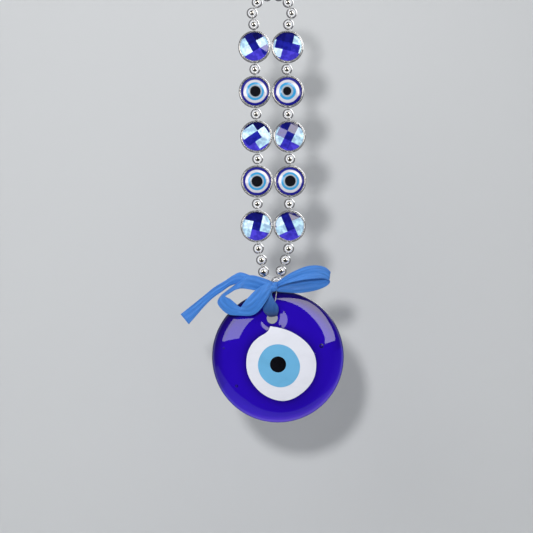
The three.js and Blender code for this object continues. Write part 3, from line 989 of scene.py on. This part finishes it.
# Outlines of the eye's layers, X and Z in mm from the middle of the disc. Each is brought into
# place by its fit: the share of its height that is kept, and its lift in mm.
WHITE_OUTLINE = [
    (-4.05, 15.95), (-4.75, 14.2), (-6.3, 12.6), (-10.4, 9.95), (-13.5, 6.9), (-15.95, 1.9),
    (-16.7, -3.7), (-15.9, -9.3), (-13.4, -14.3), (-9.35, -18.9), (-4.3, -22.1), (1.8, -23.7),
    (6.9, -22.9), (11.9, -20.1), (16.0, -16.3), (19.0, -11.3), (20.1, -4.7), (19.25, 0.8),
    (17.0, 4.9), (13.9, 8.4), (9.4, 11.7), (4.8, 14.0), (0.3, 15.3), (-2.6, 15.75),
]
IRIS_OUTLINE = [
    (-0.25, 6.35), (5.8, 4.7), (9.8, 0.4), (11.65, -4.7), (10.65, -10.2), (6.9, -14.8),
    (1.3, -16.5), (-4.3, -14.9), (-8.85, -10.8), (-10.65, -5.2), (-9.4, 0.4), (-5.8, 4.7),
]
WHITE_FIT = (0.99, 0.46)
IRIS_FIT = (1.0, 0.65)
PUPIL = ((0.0, -3.7), 4.3)


def closed_outline(points, fit, steps):
    """A smooth closed line through the points, brought into place by its fit."""
    kept, lift = fit
    ring = [Vector((x, kept * z + lift, 0)) for x, z in points]
    path = smooth_path(ring[-2:] + ring + ring[:3], steps)
    return [(p.x, p.y) for p in path[2 * steps : -2 * steps - 1]]


def melted_layer(name, outline, proud, sunk):
    """A layer that follows the dome, stands a little proud of it and rounds off at its edge."""
    count = len(outline)
    middle_x = sum(x for x, z in outline) / count
    middle_z = sum(z for x, z in outline) / count
    # Shares of the way out to the edge, and of the full height there.
    profile = [(0.001, 1.0), (0.15, 1.0), (0.3, 1.0), (0.45, 1.0), (0.6, 1.0), (0.72, 1.0)]
    profile += [(0.82, 1.0), (0.9, 1.0), (0.955, 1.0), (0.975, 0.92), (0.99, 0.66), (0.998, 0.3)]
    profile += [(1.0, 0.0)]
    # Each ring's share of the way out, and how far its points stand in front of the dome.
    rings = [(share, proud * rise) for share, rise in profile]
    rings += [(share, -sunk) for share in (1.0, 0.6, 0.001)]
    verts = []
    for share, height in rings:
        for x, z in outline:
            px = DISC.x + (middle_x + (x - middle_x) * share) * MM
            pz = DISC.z + (middle_z + (z - middle_z) * share) * MM
            verts.append((px, glass_front(px, pz) - height, pz))
    last = (len(rings) - 1) * count
    faces = band_faces(len(rings), count)
    faces += [tuple(range(count)), tuple(last + k for k in reversed(range(count)))]
    obj = add_mesh(name, verts, faces)
    tidy_normals(obj.data)
    return obj


class EYE_OT_eye(bpy.types.Operator):
    """Melt the white, light blue and black layers of the eye onto the dome"""

    bl_idname = "eye.eye"
    bl_label = "Eye Layers"

    def execute(self, context):
        colours = context.scene.eye_colours
        (x, z), radius = PUPIL
        turns = [2 * math.pi * k / 72 for k in range(72)]
        pupil = [(x + radius * math.cos(turn), z + radius * math.sin(turn)) for turn in turns]
        white = closed_outline(WHITE_OUTLINE, WHITE_FIT, 8)
        iris = closed_outline(IRIS_OUTLINE, IRIS_FIT, 12)
        black = (0.0035, 0.0035, 0.006)
        # Layer, outline, how proud it stands in mm, slot, and its glass: name, colour, scale and
        # contrast of the swirls.
        layers = [
            ("white", white, 0.07, "white_glass", ("melted_white", colours.white, 60.0, 0.03)),
            ("iris", iris, 0.12, "light_blue_glass", ("melted_blue", colours.iris, 45.0, 0.07)),
            ("pupil", pupil, 0.17, "black_glass", ("melted_black", black, 60.0, 0.3)),
        ]
        for name, outline, proud, slot, glass in layers:
            material = once(glass[0], fused_material, *glass)
            layer = melted_layer(f"{name}_layer", outline, proud * MM, 0.6 * MM)
            finish_piece(layer, "glass_eye", material, [f"eye_{name}"])
        return {"FINISHED"}


# ---- Ribbon ----

# Stations of each strip: its two edges, each as X and Z from the middle of the knot, and Y in
# the model's frame, all in mm.
RIGHT_LOOP = [
    ((0.3, 1.8, -6.6), (0.4, -0.9, -6.8)),
    ((3.6, 4.1, -7.0), (3.2, 0.5, -7.5)),
    ((7.2, 6.6, -7.2), (7.4, 1.9, -7.9)),
    ((12.2, 9.1, -7.1), (12.2, 3.0, -8.1)),
    ((17.9, 10.9, -6.8), (17.9, 3.9, -7.9)),
    ((22.9, 11.1, -6.3), (22.7, 4.3, -7.2)),
    ((26.8, 10.0, -5.5), (26.4, 4.1, -5.9)),
    ((29.2, 7.8, -4.3), (28.7, 2.9, -4.2)),
    ((28.6, 6.6, -2.9), (28.0, 0.9, -2.6)),
    ((24.4, 5.4, -2.3), (23.6, -1.4, -2.2)),
    ((18.2, 4.4, -2.5), (17.8, -2.8, -2.6)),
    ((12.2, 3.3, -3.1), (12.0, -3.4, -3.4)),
    ((6.3, 2.0, -4.3), (6.1, -3.0, -4.4)),
    ((2.6, 0.7, -5.3), (2.3, -2.7, -5.4)),
    ((0.2, 0.3, -5.8), (0.2, -1.9, -5.9)),
]
LEFT_LOOP = [
    ((0.0, 1.9, -6.0), (0.0, -1.3, -6.1)),
    ((-3.2, 3.4, -5.6), (-3.4, -2.2, -5.5)),
    ((-6.6, 4.7, -5.2), (-7.4, -2.4, -5.1)),
    ((-11.0, 5.9, -4.9), (-12.0, -1.7, -4.9)),
    ((-14.6, 5.7, -4.6), (-16.4, -1.0, -5.4)),
    ((-17.6, 3.6, -3.6), (-18.9, -1.0, -7.4)),
    ((-21.6, 0.7, -3.1), (-21.2, -1.5, -8.6)),
    ((-25.4, -2.0, -3.3), (-24.0, -3.3, -9.0)),
    ((-28.6, -4.9, -4.4), (-26.0, -4.7, -9.0)),
    ((-30.1, -8.2, -6.1), (-25.8, -5.2, -8.8)),
    ((-28.0, -11.6, -7.2), (-23.2, -6.4, -8.4)),
    ((-24.2, -14.5, -7.6), (-20.2, -9.0, -8.0)),
    ((-18.2, -15.1, -7.8), (-18.0, -10.7, -7.8)),
    ((-12.0, -15.0, -8.0), (-16.6, -9.0, -8.3)),
    ((-9.0, -13.4, -8.4), (-14.2, -6.0, -8.8)),
    ((-6.3, -10.3, -8.7), (-10.4, -2.1, -9.0)),
    ((-3.6, -6.2, -8.5), (-6.6, 0.7, -8.7)),
    ((-1.6, -2.6, -7.7), (-3.0, 2.1, -7.9)),
    ((-0.2, -1.0, -6.9), (-0.4, 1.8, -7.0)),
]
TAIL = [
    ((-0.4, 1.4, -4.9), (-0.4, -0.9, -4.9)),
    ((-5.2, 3.6, -4.5), (-5.6, -1.0, -4.5)),
    ((-10.8, 5.0, -4.2), (-11.8, -0.4, -4.2)),
    ((-15.4, 6.9, -3.9), (-16.4, 1.3, -3.7)),
    ((-18.4, 7.5, -3.5), (-19.4, 1.5, -3.1)),
    ((-21.6, 6.1, -3.1), (-23.4, 0.4, -2.5)),
    ((-26.0, 3.2, -2.7), (-27.8, -2.6, -2.2)),
    ((-31.6, -0.2, -2.5), (-33.0, -6.4, -2.2)),
    ((-36.6, -4.2, -2.6), (-37.4, -10.8, -2.4)),
    ((-43.0, -9.4, -3.0), (-41.4, -15.4, -2.8)),
    ((-49.5, -14.6, -3.5), (-45.3, -19.8, -3.3)),
]
HANGER = [
    ((-2.9, -1.4, -6.3), (-0.9, -1.4, -6.4)),
    ((-3.6, -4.2, -6.4), (-1.6, -4.2, -6.6)),
    ((-4.7, -7.2, -6.2), (-0.2, -7.4, -6.6)),
    ((-5.9, -10.2, -6.0), (1.7, -10.3, -6.3)),
    ((-6.0, -12.6, -5.8), (2.0, -12.8, -5.9)),
    ((-4.7, -14.4, -4.9), (1.5, -14.5, -4.9)),
    ((-3.7, -15.5, -3.0), (1.1, -15.5, -3.0)),
    ((-3.5, -15.7, -0.2), (0.9, -15.7, -0.2)),
    ((-3.5, -15.5, 2.6), (0.9, -15.5, 2.6)),
    ((-3.7, -14.3, 4.7), (1.0, -14.3, 4.7)),
    ((-4.1, -12.0, 5.3), (1.1, -12.0, 5.3)),
    ((-5.3, -6.5, 5.4), (-0.1, -6.5, 5.4)),
    ((-6.6, -1.9, 5.2), (-1.8, -1.7, 5.2)),
    ((-6.7, 0.3, 3.6), (-2.3, 0.7, 3.5)),
    ((-6.5, 0.9, 0.2), (-2.4, 1.3, 0.2)),
    ((-5.6, 0.5, -2.8), (-2.0, 1.2, -2.8)),
    ((-2.6, -0.6, -5.2), (-0.8, 0.8, -5.2)),
]


WAVE = 6.28  # one wrinkle across, in radians
SLOW_WRINKLE = 9 * MM
FINE_WRINKLE = 5 * MM
EDGE_FLUTTER = 3.1 * MM
GATHERED = 1.6  # stations from the knot over which the gathers die away
# Reach of the painted shade on the loop through the glass.
HOLE_SHADE_REACH = 13 * MM  # from the hole


def ribbon_point(station):
    x, z, y = station
    return Vector((KNOT.x + x * MM, y * MM, KNOT.z + z * MM))


def ribbon_strip(name, stations, creases, cupping, seed, thickness):
    """A satin strip between two edge lines, with lengthwise wrinkles and its own UV in mm."""
    across, steps = 20, 7
    first = smooth_path([ribbon_point(a) for a, b in stations], steps)
    second = smooth_path([ribbon_point(b) for a, b in stations], steps)
    path = [(a + b) / 2 for a, b in zip(first, second)]
    rng = np.random.default_rng(seed)
    phases = rng.random(3) * WAVE
    verts, uvs, reach = [], [], 0.0
    for i, (a, b) in enumerate(zip(first, second)):
        here = path[i]
        onward = (path[min(i + 1, len(path) - 1)] - path[max(i - 1, 0)]).normalized()
        out = onward.cross(b - a).normalized()
        if i:
            reach += (here - path[i - 1]).length
        # Wrinkles are deepest where the strip is gathered at the knot.
        nearest = min(i, len(path) - 1 - i) / steps
        gather = math.exp(-nearest / GATHERED)
        for k in range(across + 1):
            s = k / across
            wave = math.sin(s * WAVE * creases + phases[0] + 0.9 * math.sin(reach / SLOW_WRINKLE))
            fine = math.sin(s * WAVE * (2.3 * creases + 1) + phases[1] + reach / FINE_WRINKLE)
            rise = (0.09 + 0.36 * gather) * wave + (0.03 + 0.14 * gather) * fine
            rise += cupping * (4 * s * (1 - s) - 0.5)
            flutter = 0.10 * math.sin(reach / EDGE_FLUTTER + phases[2]) * (2 * s - 1) ** 2
            verts.append(a.lerp(b, s) + out * (rise + flutter) * MM)
            uvs.append((s * (b - a).length / MM, reach / MM))
    width = across + 1
    faces = []
    for i in range(len(path) - 1):
        for k in range(across):
            a = i * width + k
            faces.append((a, a + 1, a + width + 1, a + width))
    strip = add_mesh(name, verts, faces)
    layer = strip.data.uv_layers.new(name="ribbon")
    for loop in strip.data.loops:
        layer.data[loop.index].uv = uvs[loop.vertex_index]
    # Painted shade on the loop through the glass, darkest at the hole.
    near = [(vert.co - HOLE).length / HOLE_SHADE_REACH for vert in strip.data.vertices]
    painted_hole_shade = [min(0.95, max(0.0, 1.3 - share)) for share in near]
    float_attribute(strip.data, "painted_hole_shade", painted_hole_shade if name == "ribbon_hanger" else np.zeros(len(painted_hole_shade)))
    solid = strip.modifiers.new("Thickness", "SOLIDIFY")
    solid.thickness = thickness
    solid.offset = 0.0
    solid.use_even_offset = False
    return strip, path


def knot_lump(name):
    """The tied knot: a small band wrapped round the gathered ribbon."""
    around, rows = 56, 30
    verts = []
    for i in range(rows + 1):
        up = math.pi * i / rows
        for k in range(around):
            turn = 2 * math.pi * k / around
            folds = 1 + 0.15 * math.sin(5 * turn + 2.2 * math.cos(up)) * math.sin(up)
            folds += 0.05 * math.sin(11 * turn + 4 * math.cos(up)) * math.sin(up)
            waist = 1 - 0.16 * math.exp(-((math.cos(up) - 0.1) ** 2) / 0.05)
            x = 2.0 * math.sin(up) ** 0.8 * math.cos(turn) * folds * waist
            y = 1.75 * math.sin(up) ** 0.8 * math.sin(turn) * folds * waist
            z = 2.7 * math.cos(up)
            verts.append(ribbon_point((x + 0.25 * z, z, -6.4 + y)))
    lump = add_mesh(name, verts, band_faces(rows + 1, around))
    tidy_normals(lump.data, 1e-6)
    layer = lump.data.uv_layers.new(name="ribbon")
    for loop in lump.data.loops:
        place = lump.data.vertices[loop.vertex_index].co - KNOT
        layer.data[loop.index].uv = ((place.x + place.y) / MM, place.z / MM)
    return lump


class EYE_OT_ribbon(bpy.types.Operator):
    """Tie the satin ribbon: two loops, one tail, the knot and the loop through the glass"""

    bl_idname = "eye.ribbon"
    bl_label = "Satin Ribbon"

    def execute(self, context):
        sizes, colours = settings(context)
        satin = once("woven_satin", satin_material, colours)
        strips = [
            ("ribbon_right_loop", RIGHT_LOOP, 1.6, 0.35, 3, 7.0, "object"),
            ("ribbon_left_loop", LEFT_LOOP, 0.9, 0.25, 5, 7.6, "object"),
            ("ribbon_tail", TAIL, 0.8, 0.30, 7, 6.4, "bare"),
            ("ribbon_hanger", HANGER, 1.0, 0.5, 9, 5.4, "object"),
        ]
        for name, stations, creases, cupping, seed, width, far_end in strips:
            strip, path = ribbon_strip(name, stations, creases, cupping, seed, sizes.ribbon)
            replaced = ["ribbon_bow"] if name == "ribbon_right_loop" else []
            finish_piece(strip, "bow", satin, replaced)
        finish_piece(knot_lump("ribbon_knot"), "bow", satin)
        return {"FINISHED"}


# ---- Stage ----

SOFTBOX_Y = -0.5
# The camera looks at the disc from a little above, so its mirror images lie lower by this much.
MIRROR_SHIFT = Vector((3.9 * MM, 0, -30.5 * MM))
SOFTBOX_RIGHT = [
    (15, 0.76, 0.93), (22, 0.79, 0.945), (35, 0.80, 0.955), (49, 0.81, 0.97), (60, 0.83, 0.97),
    (75, 0.855, 0.93), (93, 0.888, 0.89),
]
SOFTBOX_LEFT = [(121, 0.71, 0.86), (137, 0.69, 0.90), (155, 0.67, 0.90), (165, 0.87, 0.90)]
SOFTBOX_LOW = [
    (190, 0.94, 1.0), (206, 0.88, 1.04), (234, 0.84, 1.06), (270, 0.88, 1.06), (313, 0.91, 1.06),
    (338, 1.0, 1.03),
]


def stage_light(name, place, aim, size, power, glossy=False):
    data = bpy.data.lights.new(name, "AREA")
    data.shape = "DISK"
    data.size = size
    data.energy = power
    lamp = bpy.data.objects.new(name, data)
    lamp.location = place
    lamp.rotation_euler = (Vector(aim) - Vector(place)).to_track_quat("-Z", "Y").to_euler()
    lamp.visible_glossy = glossy
    lamp.visible_camera = False
    bpy.context.scene.collection.objects.link(lamp)


def mirrored(share):
    """How far from the eye's axis the dome's mirror sees in the softboxes' plane."""
    slope = DOME_POWER * CROWN / DISC_RADIUS * share ** (DOME_POWER - 1)
    return share * DISC_RADIUS - SOFTBOX_Y * math.tan(2 * math.atan(slope))


def glowing_panel(name, outline, strength):
    """A softbox seen only in gloss. Its outline is where the disc shows it: azimuth in degrees,
    and the inner and outer shares of the disc's radius."""
    verts, faces = [], []
    azimuths = [row[0] for row in outline]
    for i in range(41):
        degrees = azimuths[0] + (azimuths[-1] - azimuths[0]) * i / 40
        turn = math.radians(degrees)
        for edge in (1, 2):
            radius = mirrored(float(np.interp(degrees, azimuths, [row[edge] for row in outline])))
            at = DISC + MIRROR_SHIFT + radius * Vector((math.cos(turn), 0, math.sin(turn)))
            verts.append((at.x, SOFTBOX_Y, at.z))
        if i:
            a = 2 * i
            faces.append((a - 2, a - 1, a + 1, a))
    panel = add_mesh(name, verts, faces, smooth=False)
    material = bpy.data.materials.new(name)
    material.use_nodes = True
    nodes = material.node_tree.nodes
    nodes.clear()
    glow, out = nodes.new("ShaderNodeEmission"), nodes.new("ShaderNodeOutputMaterial")
    glow.inputs["Strength"].default_value = strength
    glow.inputs["Color"].default_value = (1.0, 0.94, 0.84, 1)
    material.node_tree.links.new(glow.outputs[0], out.inputs["Surface"])
    panel.data.materials.append(material)
    panel.visible_camera = False
    panel.visible_diffuse = False
    panel.visible_shadow = False


def backdrop_material(colour):
    """Matt paper that is seen only from its front."""
    material, nodes, links, shader = surface("backdrop_paper", colour, 0.9)
    grain = object_noise(nodes, links, 240.0, 4.0)
    bumped(nodes, links, shader, grain, 0.08, 0.1 * MM)
    behind = nodes.new("ShaderNodeNewGeometry")
    clear = nodes.new("ShaderNodeBsdfTransparent")
    mix = nodes.new("ShaderNodeMixShader")
    links.new(behind.outputs["Backfacing"], mix.inputs[0])
    links.new(shader.outputs[0], mix.inputs[1])
    links.new(clear.outputs[0], mix.inputs[2])
    links.new(mix.outputs[0], nodes["Material Output"].inputs["Surface"])
    return material


class EYE_OT_stage(bpy.types.Operator):
    """Set the backdrop, floor, lights and camera"""

    bl_idname = "eye.stage"
    bl_label = "Stage"

    def execute(self, context):
        scene = context.scene
        paper = backdrop_material(scene.eye_colours.backdrop)
        wall_y, floor_z = 0.11, -0.33
        half, wall_top, near, far = 1.2, 1.0, -0.30, 1.2
        upright = [(-half, wall_y, floor_z), (half, wall_y, floor_z)]
        upright += [(half, wall_y, wall_top), (-half, wall_y, wall_top)]
        level = [(-half, near, floor_z), (half, near, floor_z)]
        level += [(half, far, floor_z), (-half, far, floor_z)]
        wall = add_mesh("backdrop_wall", upright, [(0, 1, 2, 3)], smooth=False)
        floor = add_mesh("backdrop_floor", level, [(0, 1, 2, 3)], smooth=False)
        for piece in (wall, floor):
            piece.data.materials.append(paper)
            piece.visible_glossy = False
        glowing_panel("softbox_right", SOFTBOX_RIGHT, 4.2)
        glowing_panel("softbox_left", SOFTBOX_LEFT, 3.4)
        glowing_panel("softbox_low", SOFTBOX_LOW, 0.30)
        aim = (0, 0, -0.12)
        stage_light("key_light", (-0.13, -0.92, 0.04), aim, 0.08, 4.7)
        stage_light("fill_light", (-0.5, -0.6, 0.35), aim, 0.5, 1.3)
        stage_light("floor_light", (0.0, -0.25, 0.25), (0, -0.1, floor_z), 0.4, 0.5)
        stage_light("back_light", (0.35, 0.75, 0.25), aim, 0.5, 2.2, glossy=True)

        world = bpy.data.worlds.new("studio")
        scene.world = world
        world.use_nodes = True
        nodes, links = world.node_tree.nodes, world.node_tree.links
        rays = nodes.new("ShaderNodeLightPath")
        air, gloss, seen = (nodes.new("ShaderNodeBackground") for _ in range(3))
        air.inputs["Color"].default_value = (0.34, 0.35, 0.36, 1)
        way = nodes.new("ShaderNodeTexCoord")
        parts = nodes.new("ShaderNodeSeparateXYZ")
        facing = nodes.new("ShaderNodeMapRange")
        facing.inputs["From Min"].default_value = -1.0
        links.new(way.outputs["Generated"], parts.inputs["Vector"])
        links.new(parts.outputs["Y"], facing.inputs["Value"])
        # A mirror sees black cloth round the camera, light tent at the sides, dim room behind.
        cloth, tent, room = (0.035,) * 3, (0.93, 0.95, 0.98), (0.12, 0.12, 0.13)
        stops = [(0.14, cloth), (0.25, tent), (0.42, tent), (0.60, (0.36, 0.37, 0.38)), (0.75, room)]
        links.new(ramp(nodes, links, facing.outputs["Result"], stops), gloss.inputs["Color"])
        by_gloss, by_camera = nodes.new("ShaderNodeMixShader"), nodes.new("ShaderNodeMixShader")
        join(
            links,
            (rays, "Is Glossy Ray", by_gloss, 0),
            (air, 0, by_gloss, 1),
            (gloss, 0, by_gloss, 2),
            (rays, "Is Camera Ray", by_camera, 0),
            (by_gloss, 0, by_camera, 1),
            (seen, 0, by_camera, 2),
        )
        links.new(by_camera.outputs[0], nodes["World Output"].inputs["Surface"])

        lens, width = 100.0, 281.8 * MM
        camera = bpy.data.cameras.new("camera")
        camera.lens, camera.sensor_width = lens, 36.0
        camera.clip_start, camera.clip_end = 0.05, 10.0
        viewer = bpy.data.objects.new("camera", camera)
        viewer.location = (-3.4 * MM, -lens * width / camera.sensor_width, -140.2 * MM)
        viewer.rotation_euler = (math.pi / 2, 0, 0)
        scene.collection.objects.link(viewer)
        scene.camera = viewer
        scene.view_settings.view_transform = "Standard"
        return {"FINISHED"}


class EYE_PT_ornament(bpy.types.Panel):
    bl_label = "Evil Eye Ornament"
    bl_idname = "EYE_PT_ornament"
    bl_space_type = "VIEW_3D"
    bl_region_type = "UI"
    bl_category = "Evil Eye"

    def draw(self, context):
        scene = context.scene
        for group in (scene.eye_sizes, scene.eye_colours):
            column = self.layout.column(align=True)
            for name in type(group).__annotations__:
                column.prop(group, name)
        for operator in OPERATORS:
            self.layout.operator(operator.bl_idname)


OPERATORS = (
    EYE_OT_stage,
    EYE_OT_ribbon,
    EYE_OT_line,
    EYE_OT_plain_beads,
    EYE_OT_bezels,
    EYE_OT_crystals,
    EYE_OT_cabochons,
    EYE_OT_disc,
    EYE_OT_eye,
)
CLASSES = (OrnamentSizes, OrnamentColours, *OPERATORS, EYE_PT_ornament)


def register():
    for cls in CLASSES:
        bpy.utils.register_class(cls)
    bpy.types.Scene.eye_sizes = PointerProperty(type=OrnamentSizes)
    bpy.types.Scene.eye_colours = PointerProperty(type=OrnamentColours)


def unregister():
    del bpy.types.Scene.eye_colours
    del bpy.types.Scene.eye_sizes
    for cls in reversed(CLASSES):
        bpy.utils.unregister_class(cls)


def main():
    register()
    for operator in OPERATORS:
        group, name = operator.bl_idname.split(".")
        getattr(getattr(bpy.ops, group), name)()


if __name__ == "__main__":
    main()
